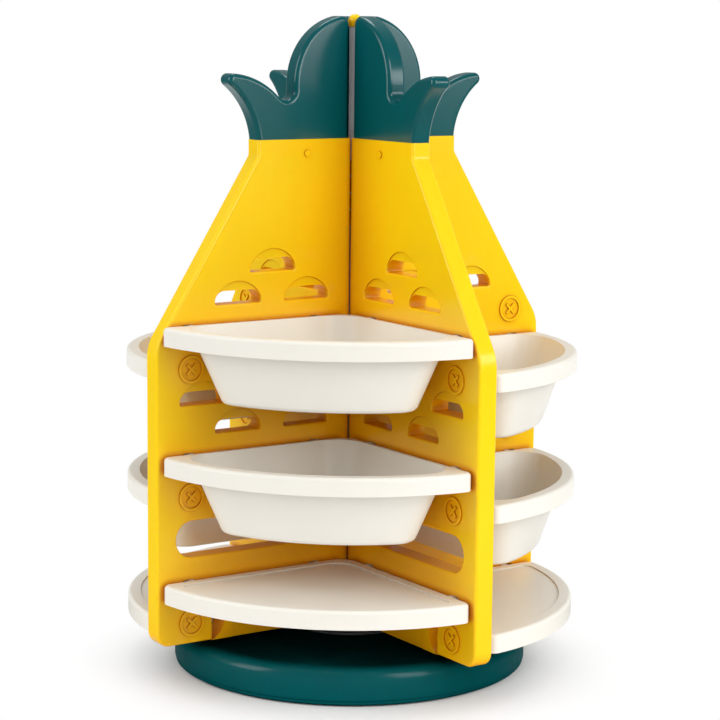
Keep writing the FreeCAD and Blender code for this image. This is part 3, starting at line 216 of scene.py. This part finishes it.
# A group in a material. Each input takes the value of the same name in the look.
def placeGroup(tree, group, place, vector, look):
    node = newNode(tree, "ShaderNodeGroup", place, node_tree=group)
    for socket in node.inputs:
        feed(tree, vector if socket.name == "vector" else look[socket.name], socket)
    return node.outputs


def newMaterial(name):
    material = bpy.data.materials.new(name)
    material.use_nodes = True
    tree = material.node_tree
    tree.nodes.clear()
    end = newNode(tree, "ShaderNodeOutputMaterial", (1200, 0))
    shader = newNode(tree, "ShaderNodeBsdfPrincipled", (900, 0))
    feed(tree, shader.outputs["BSDF"], end.inputs["Surface"])
    where = newNode(tree, "ShaderNodeTexCoord", (-900, 0))
    return material, tree, shader, where.outputs["Object"]


def addBump(tree, shader, height, depth):
    bump = newNode(tree, "ShaderNodeBump", (600, -400))
    for name, value in (("Strength", 1.0), ("Distance", depth), ("Height", height)):
        feed(tree, value, bump.inputs[name])
    feed(tree, bump.outputs["Normal"], shader.inputs["Normal"])


# How open a place is within a reach: 1 in the open, less in hollows and corners.
def openness(tree, place, reach, samples):
    node = newNode(tree, "ShaderNodeAmbientOcclusion", place, samples=samples)
    node.inputs["Distance"].default_value = reach
    return node.outputs["AO"]


# A moulded plastic from its tones, its marks, its skin and its gloss. Painted shade turns its
# colour to a shade tone in wide hollows and to a darker one in creases, and can cut its
# reflections in hollows.
def mouldedPlastic(look):
    material, tree, shader, where = newMaterial(look["name"])
    tone = placeGroup(tree, flowTone, (-500, 200), where, look)
    marks = placeGroup(tree, handling, (-500, -100), where, look)
    skin = placeGroup(tree, mouldedSkin, (-500, -400), where, look)
    scratched = mix(tree, (0, 200), marks["scratch"], tone["colour"], look["scratchColour"])
    # Painted shade: the colour turns to a shade tone where the surroundings close in within a
    # reach.
    wide = openness(tree, (-300, 500), look["hollowShadeReach"], look["hollowShadeSamples"])
    hollowShade = remap(tree, (-100, 500), wide, look["hollowShadeFrom"], look["hollowShade"], 0.0)
    hollowShaded = mix(tree, (100, 300), hollowShade, scratched, look["hollowShadeColour"])
    # Painted shade: a darker tone in narrow creases.
    narrow = openness(tree, (-300, 700), look["creaseShadeReach"], look["creaseShadeSamples"])
    creaseShade = remap(tree, (-100, 700), narrow, look["creaseShadeFrom"], look["creaseShade"], 0.0)
    creaseShaded = mix(tree, (200, 400), creaseShade, hollowShaded, look["creaseShadeColour"])
    dusted = mix(tree, (250, 200), marks["dust"], creaseShaded, look["dustColour"])
    feed(tree, dusted, shader.inputs["Base Color"])
    rough = remap(tree, (250, -100), marks["gloss"], (0.0, 1.0), look["roughness"],
                  look["roughness"] + look["worn"])
    feed(tree, rough, shader.inputs["Roughness"])
    shader.inputs["IOR"].default_value = look["ior"]
    shader.inputs["Specular IOR Level"].default_value = look["specular"]
    # Painted shade on the reflections: the specular level falls to nothing in hollows.
    if "reflectionShadeFrom" in look:
        shadedSpecular = remap(tree, (250, -300), wide, look["reflectionShadeFrom"], 0.0, look["specular"])
        feed(tree, shadedSpecular, shader.inputs["Specular IOR Level"])
    if "translucent" in look:
        shader.inputs["Subsurface Weight"].default_value = look["translucent"]
        shader.inputs["Subsurface Radius"].default_value = look["glowColour"]
        shader.inputs["Subsurface Scale"].default_value = look["glowDepth"]
    addBump(tree, shader, skin["height"], look["depth"])
    return material


plasticLook = {
    "ior": 1.5, "worn": 0.25,
    "hollowShadeSamples": 12, "creaseShadeSamples": 6, "creaseShadeFrom": (0.5, 0.9),
}
yellowLook = {
    **plasticLook, "name": "yellowPolyethylene",
    "base": (0.95, 0.615, 0.004), "deep": (0.94, 0.54, 0.002), "speck": (0.6, 0.33, 0.02),
    "drift": 0.3, "streaks": 0.2, "specks": 0.2,
    "scratches": 0.2, "smudges": 0.1, "dust": 0.02,
    "scratchColour": (0.95, 0.72, 0.2), "dustColour": (0.9, 0.8, 0.6),
    "grainScale": 1500.0, "grain": 0.008, "peelScale": 240.0, "peel": 0.03,
    "waveScale": 14.0, "wave": 1.1, "depth": 0.00022,
    "roughness": 0.2, "specular": 0.5,
    "translucent": 0.3, "glowColour": (1.0, 0.4, 0.08), "glowDepth": 0.006,
    # Painted shade: a deeper orange tone in wide hollows.
    "hollowShade": 1.0, "hollowShadeColour": (0.97, 0.38, 0.001),
    "hollowShadeReach": 0.22, "hollowShadeFrom": (0.05, 0.85),
    # Painted shade: a dark orange tone in creases.
    "creaseShade": 1.0, "creaseShadeColour": (0.60, 0.18, 0.0), "creaseShadeReach": 0.010,
}
greenLook = {
    **plasticLook, "name": "greenPolypropylene",
    "base": (0.0006, 0.088, 0.096), "deep": (0.0004, 0.072, 0.080), "speck": (0.02, 0.13, 0.14),
    "drift": 0.35, "streaks": 0.2, "specks": 0.15,
    "scratches": 0.12, "smudges": 0.12, "dust": 0.005,
    "scratchColour": (0.06, 0.2, 0.2), "dustColour": (0.3, 0.36, 0.36),
    "grainScale": 1600.0, "grain": 0.008, "peelScale": 260.0, "peel": 0.03,
    "waveScale": 15.0, "wave": 1.1, "depth": 0.0002,
    # Painted shade on the reflections: the specular level falls in hollows.
    "roughness": 0.2, "specular": 0.72, "reflectionShadeFrom": (0.52, 0.72),
    # Painted shade: near black in wide hollows.
    "hollowShade": 1.0, "hollowShadeColour": (0.0001, 0.010, 0.011),
    "hollowShadeReach": 0.16, "hollowShadeFrom": (0.25, 0.50),
    # Painted shade: darker still in creases.
    "creaseShade": 0.6, "creaseShadeColour": (0.0001, 0.030, 0.033), "creaseShadeReach": 0.006,
}
whiteLook = {
    **plasticLook, "name": "whitePolypropylene",
    "base": (0.775, 0.75, 0.685), "deep": (0.74, 0.71, 0.635), "speck": (0.5, 0.46, 0.4),
    "drift": 0.35, "streaks": 0.15, "specks": 0.2,
    "scratches": 0.25, "smudges": 0.4, "dust": 0.05,
    "scratchColour": (0.74, 0.71, 0.66), "dustColour": (0.66, 0.62, 0.56),
    "grainScale": 1700.0, "grain": 0.03, "peelScale": 300.0, "peel": 0.08,
    "waveScale": 12.0, "wave": 1.2, "depth": 0.00018,
    "roughness": 0.34, "specular": 0.35,
    # Painted shade: a warm tone in wide hollows.
    "hollowShade": 0.4, "hollowShadeColour": (0.78, 0.71, 0.60),
    "hollowShadeReach": 0.15, "hollowShadeFrom": (0.3, 0.9),
    # Painted shade: a brown tone in creases.
    "creaseShade": 0.5, "creaseShadeColour": (0.55, 0.47, 0.36), "creaseShadeReach": 0.005,
}
nylonLook = {
    **whiteLook, "name": "cageNylon",
    "base": (0.80, 0.77, 0.66), "deep": (0.72, 0.68, 0.56), "roughness": 0.5,
}
pinLook = {**greenLook, "name": "pinPolypropylene", "roughness": 0.45}


# Drawn or pressed steel: fine lines along the work and duller, rougher patches.
def workedSteel(look):
    material, tree, shader, where = newMaterial(look["name"])
    lines = stretched(tree, (-700, 200), where, look["lines"])
    drawn = noise(tree, (-500, 200), lines, 1.0, look["detail"], look["fineness"])
    patch = noise(tree, (-500, 0), where, look["patchScale"], look["detail"], look["fineness"])
    tone = mix(tree, (-200, 200), drawn, look["base"], look["deep"])
    dull = remap(tree, (-200, 0), patch, look["dullFrom"], 0.0, look["patches"])
    feed(tree, mix(tree, (50, 200), dull, tone, look["dull"]), shader.inputs["Base Color"])
    rough = remap(tree, (50, 0), patch, look["roughFrom"], look["roughness"],
                  look["roughness"] + look["worn"])
    feed(tree, rough, shader.inputs["Roughness"])
    shader.inputs["Metallic"].default_value = look["metal"]
    addBump(tree, shader, drawn, look["depth"])
    return material


steelLook = {
    "detail": 4.0, "fineness": 0.6, "dullFrom": (0.4, 0.7), "roughFrom": (0.3, 0.7), "worn": 0.15,
}
poleLook = {
    **steelLook, "name": "poleSteel",
    "base": (0.86, 0.87, 0.88), "deep": (0.66, 0.67, 0.68), "dull": (0.7, 0.7, 0.7),
    "lines": (900.0, 900.0, 12.0), "patchScale": 14.0, "patches": 0.4,
    "roughness": 0.40, "metal": 0.05, "depth": 0.00002,
}
zincLook = {
    **steelLook, "name": "zincSteel",
    "base": (0.68, 0.69, 0.70), "deep": (0.5, 0.51, 0.53), "dull": (0.55, 0.55, 0.5),
    "lines": (700.0, 700.0, 700.0), "patchScale": 120.0, "patches": 0.5,
    "roughness": 0.30, "metal": 1.0, "depth": 0.00003,
}
raceLook = {**zincLook, "name": "raceSteel", "patchScale": 40.0, "roughness": 0.35}
ballLook = {
    **zincLook, "name": "ballSteel", "patches": 0.1, "roughness": 0.08, "depth": 0.000004,
}


# Dull rubber with a pale bloom in patches.
def footRubber(look):
    material, tree, shader, where = newMaterial(look["name"])
    bloom = noiseMask(tree, (-500, 200), where, look["mottle"])
    toned = mix(tree, (0, 200), bloom, look["base"], look["bloom"])
    feed(tree, toned, shader.inputs["Base Color"])
    shader.inputs["Roughness"].default_value = look["roughness"]
    grain = noise(tree, (-500, -100), where, look["grainScale"], look["grainDetail"])
    addBump(tree, shader, grain, look["depth"])
    return material


rubberLook = {
    "name": "footRubber", "base": (0.02, 0.02, 0.021), "bloom": (0.05, 0.05, 0.05),
    "mottle": {"scale": 90.0, "detail": 5.0, "roughness": 0.7, "span": (0.4, 0.7)},
    "grainScale": 1300.0, "grainDetail": 3.0, "roughness": 0.75, "depth": 0.0002,
}

finishes = {
    "yellow_plastic": mouldedPlastic(yellowLook), "green_plastic": mouldedPlastic(greenLook),
    "white_plastic": mouldedPlastic(whiteLook), "cage_nylon": mouldedPlastic(nylonLook),
    "pin_plastic": mouldedPlastic(pinLook), "pole_steel": workedSteel(poleLook),
    "zinc_steel": workedSteel(zincLook), "race_steel": workedSteel(raceLook),
    "ball_steel": workedSteel(ballLook), "foot_rubber": footRubber(rubberLook),
}
finishes["yellow_cap"] = finishes["yellow_plastic"]
for subpart in frame["record"]["subparts"]:
    for slot in nodes[subpart["node"]].material_slots:
        slot.material = finishes[subpart["material_slot"]]
print("finishes given to", len(nodes), "nodes")


# The direction away from the axis at a turn about it and a height angle, both in degrees.
def directionAt(turn, rise=0.0):
    turn, rise = math.radians(turn), math.radians(rise)
    return Vector((math.sin(turn) * math.cos(rise), -math.cos(turn) * math.cos(rise),
                   math.sin(rise)))


# What the eye meets first: camera rays, also those that passed through something clear.
def seenByCamera(tree, place, rays):
    return maths(tree, place, "MAXIMUM", rays["Is Camera Ray"], rays["Is Transmission Ray"])


# White paper under the object and a darker studio floor far around it. What the camera sees of
# it turns plain white a little way from the base. Mirrors see it plain white behind the object,
# as paper close beside the base, and dark in front.
def makeFloor(look):
    material, tree, shader, where = newMaterial(look["name"])
    front = directionAt(look["turn"])
    fromMiddle = vectorMaths(tree, (-700, 300), "SUBTRACT", where, front * look["ahead"])
    length = vectorMaths(tree, (-500, 300), "LENGTH", fromMiddle)
    far = remap(tree, (-300, 300), length, look["plainFrom"])
    offPaper = remap(tree, (-300, 0), length, look["paperFrom"])
    forward = maths(tree, (-400, 600), "DIVIDE",
                    vectorMaths(tree, (-500, 600), "DOT_PRODUCT", where, front), length)
    behind = remap(tree, (-300, 600), forward, look["behind"], 1.0, 0.0)
    beside = remap(tree, (-300, 1200), forward, look["beside"], 1.0, 0.0)
    near = maths(tree, (-150, 1000), "SUBTRACT", 1.0, far)
    besideBase = maths(tree, (-50, 1000), "MULTIPLY", beside, near)
    rays = newNode(tree, "ShaderNodeLightPath", (-300, 900)).outputs
    glossy = rays["Is Glossy Ray"]
    lit = maths(tree, (50, 1000), "MULTIPLY", glossy,
                maths(tree, (0, 1000), "MAXIMUM", besideBase, behind))
    dimmed = maths(tree, (-50, 100), "SUBTRACT", glossy, lit)
    dark = maths(tree, (150, 100), "MAXIMUM", offPaper, dimmed)
    toned = mix(tree, (350, 100), dark, look["paper"], look["studio"])
    feed(tree, toned, shader.inputs["Base Color"])
    shader.inputs["Roughness"].default_value = look["roughness"]
    shader.inputs["Specular IOR Level"].default_value = look["specular"]
    mirrored = maths(tree, (-50, 700), "MULTIPLY", glossy, behind)
    either = maths(tree, (350, 700), "MAXIMUM", seenByCamera(tree, (150, 800), rays), mirrored)
    glow = newNode(tree, "ShaderNodeEmission", (900, -300))
    feed(tree, look["plain"], glow.inputs["Color"])
    blend = newNode(tree, "ShaderNodeMixShader", (1050, 100))
    feed(tree, maths(tree, (550, 500), "MULTIPLY", far, either), blend.inputs[0])
    feed(tree, shader.outputs["BSDF"], blend.inputs[1])
    feed(tree, glow.outputs["Emission"], blend.inputs[2])
    end = next(n for n in tree.nodes if n.type == "OUTPUT_MATERIAL")
    feed(tree, blend.outputs["Shader"], end.inputs["Surface"])
    plane = bmesh.new()
    bmesh.ops.create_grid(plane, x_segments=1, y_segments=1, size=look["reach"])
    mesh = bpy.data.meshes.new(look["name"])
    plane.to_mesh(mesh)
    plane.free()
    mesh.materials.append(material)
    floor = bpy.data.objects.new(look["name"], mesh)
    bpy.context.scene.collection.objects.link(floor)


# The turn about the axis that the studio counts as its front.
frontTurn = -33.5
floorLook = {
    "name": "studioFloor", "turn": frontTurn, "ahead": 0.05, "reach": 14.0,
    "paper": (0.95, 0.95, 0.955), "studio": (0.10, 0.10, 0.10), "plain": (1.0, 1.0, 1.0),
    "roughness": 0.6, "specular": 0.2,
    "plainFrom": (0.26, 0.42), "paperFrom": (1.4, 2.2),
    "behind": (-0.8, -0.45), "beside": (0.3, 0.65),
}
makeFloor(floorLook)


# An even white studio. Mirrors see it darker, and darkest on the side that the camera is on.
def makeWorld(look):
    world = bpy.data.worlds.new(look["name"])
    bpy.context.scene.world = world
    world.use_nodes = True
    tree = world.node_tree
    tree.nodes.clear()
    where = newNode(tree, "ShaderNodeTexCoord", (-900, 0)).outputs["Generated"]
    flat = vectorMaths(tree, (-700, 0), "MULTIPLY", where, (1, 1, 0))
    level = vectorMaths(tree, (-500, 0), "NORMALIZE", flat)
    forward = vectorMaths(tree, (-300, 0), "DOT_PRODUCT", level, directionAt(look["turn"]))
    span = [math.cos(math.radians(angle)) for angle in look["darkens"]]
    mirrored = remap(tree, (-100, 0), forward, span, look["bright"], look["dark"])
    rays = newNode(tree, "ShaderNodeLightPath", (-100, 400)).outputs
    unseen = mix(tree, (100, 100), rays["Is Glossy Ray"], look["ambient"], mirrored, "FLOAT")
    strength = mix(tree, (300, 200), seenByCamera(tree, (100, 400), rays), unseen,
                   look["backdrop"], "FLOAT")
    lit = newNode(tree, "ShaderNodeBackground", (500, 0))
    feed(tree, look["colour"], lit.inputs["Color"])
    feed(tree, strength, lit.inputs["Strength"])
    end = newNode(tree, "ShaderNodeOutputWorld", (700, 0))
    feed(tree, lit.outputs["Background"], end.inputs["Surface"])


worldLook = {
    "name": "studioWorld", "turn": frontTurn, "colour": (1.0, 1.0, 1.0),
    "backdrop": 1.0, "ambient": 0.93, "bright": 0.3, "dark": 0.02, "darkens": (155, 95),
}
makeWorld(worldLook)
print("floor and world ready")

# Softboxes by turn about the axis, height angle and distance from the middle of the object.
lamps = [
    {"name": "rightBox", "turn": 8, "rise": 22, "away": 2.6, "wide": 1.1, "high": 1.9,
     "watts": 25.0},
    {"name": "leftBox", "turn": -102, "rise": 22, "away": 2.6, "wide": 1.0, "high": 1.9,
     "watts": 19.5},
    {"name": "farBox", "turn": 40, "rise": 18, "away": 2.6, "wide": 1.1, "high": 0.8,
     "watts": 9.5},
    {"name": "topBox", "turn": 160, "rise": 68, "away": 2.4, "wide": 1.0, "high": 0.8,
     "watts": 9.0},
]
objectMiddle = Vector((0, 0, 0.45))
for lamp in lamps:
    light = bpy.data.lights.new(lamp["name"], "AREA")
    light.shape = "RECTANGLE"
    light.size = lamp["wide"]
    light.size_y = lamp["high"]
    light.energy = lamp["watts"]
    holder = bpy.data.objects.new(lamp["name"], light)
    back = directionAt(lamp["turn"], lamp["rise"])
    holder.location = objectMiddle + back * lamp["away"]
    holder.rotation_euler = back.to_track_quat("Z", "Y").to_euler()
    bpy.context.scene.collection.objects.link(holder)
print("studio lit with", len(lamps), "softboxes")


# A camera at a turn about the axis. It swings off the axis, looks down and tilts a little.
def makeCamera(look):
    swing, down, tilt = (math.radians(look[name]) for name in ("swing", "down", "tilt"))
    outward = directionAt(look["turn"])
    up = Vector((0, 0, 1))
    ahead = up.cross(outward) * math.sin(swing) - outward * math.cos(swing)
    side = ahead.cross(up)
    ahead = ahead * math.cos(down) - up * math.sin(down)
    crown = side.cross(ahead)
    side = side * math.cos(tilt) + crown * math.sin(tilt)
    crown = side.cross(ahead)
    camera = bpy.data.cameras.new(look["name"])
    camera.lens = look["lens"]
    camera.sensor_width = look["sensor"]
    holder = bpy.data.objects.new(look["name"], camera)
    place = Matrix((side, crown, -ahead)).transposed().to_4x4()
    place.translation = outward * look["away"] + up * look["height"]
    holder.matrix_world = place
    bpy.context.scene.collection.objects.link(holder)
    bpy.context.scene.camera = holder


view = {
    "name": "studioCamera", "turn": -33.521, "away": 3.1109, "height": 0.9187,
    "swing": 0.2158, "down": 8.7087, "tilt": 0.5718, "lens": 108.086, "sensor": 36.0,
}
makeCamera(view)
bpy.context.scene.view_settings.view_transform = "Standard"
print("camera placed")
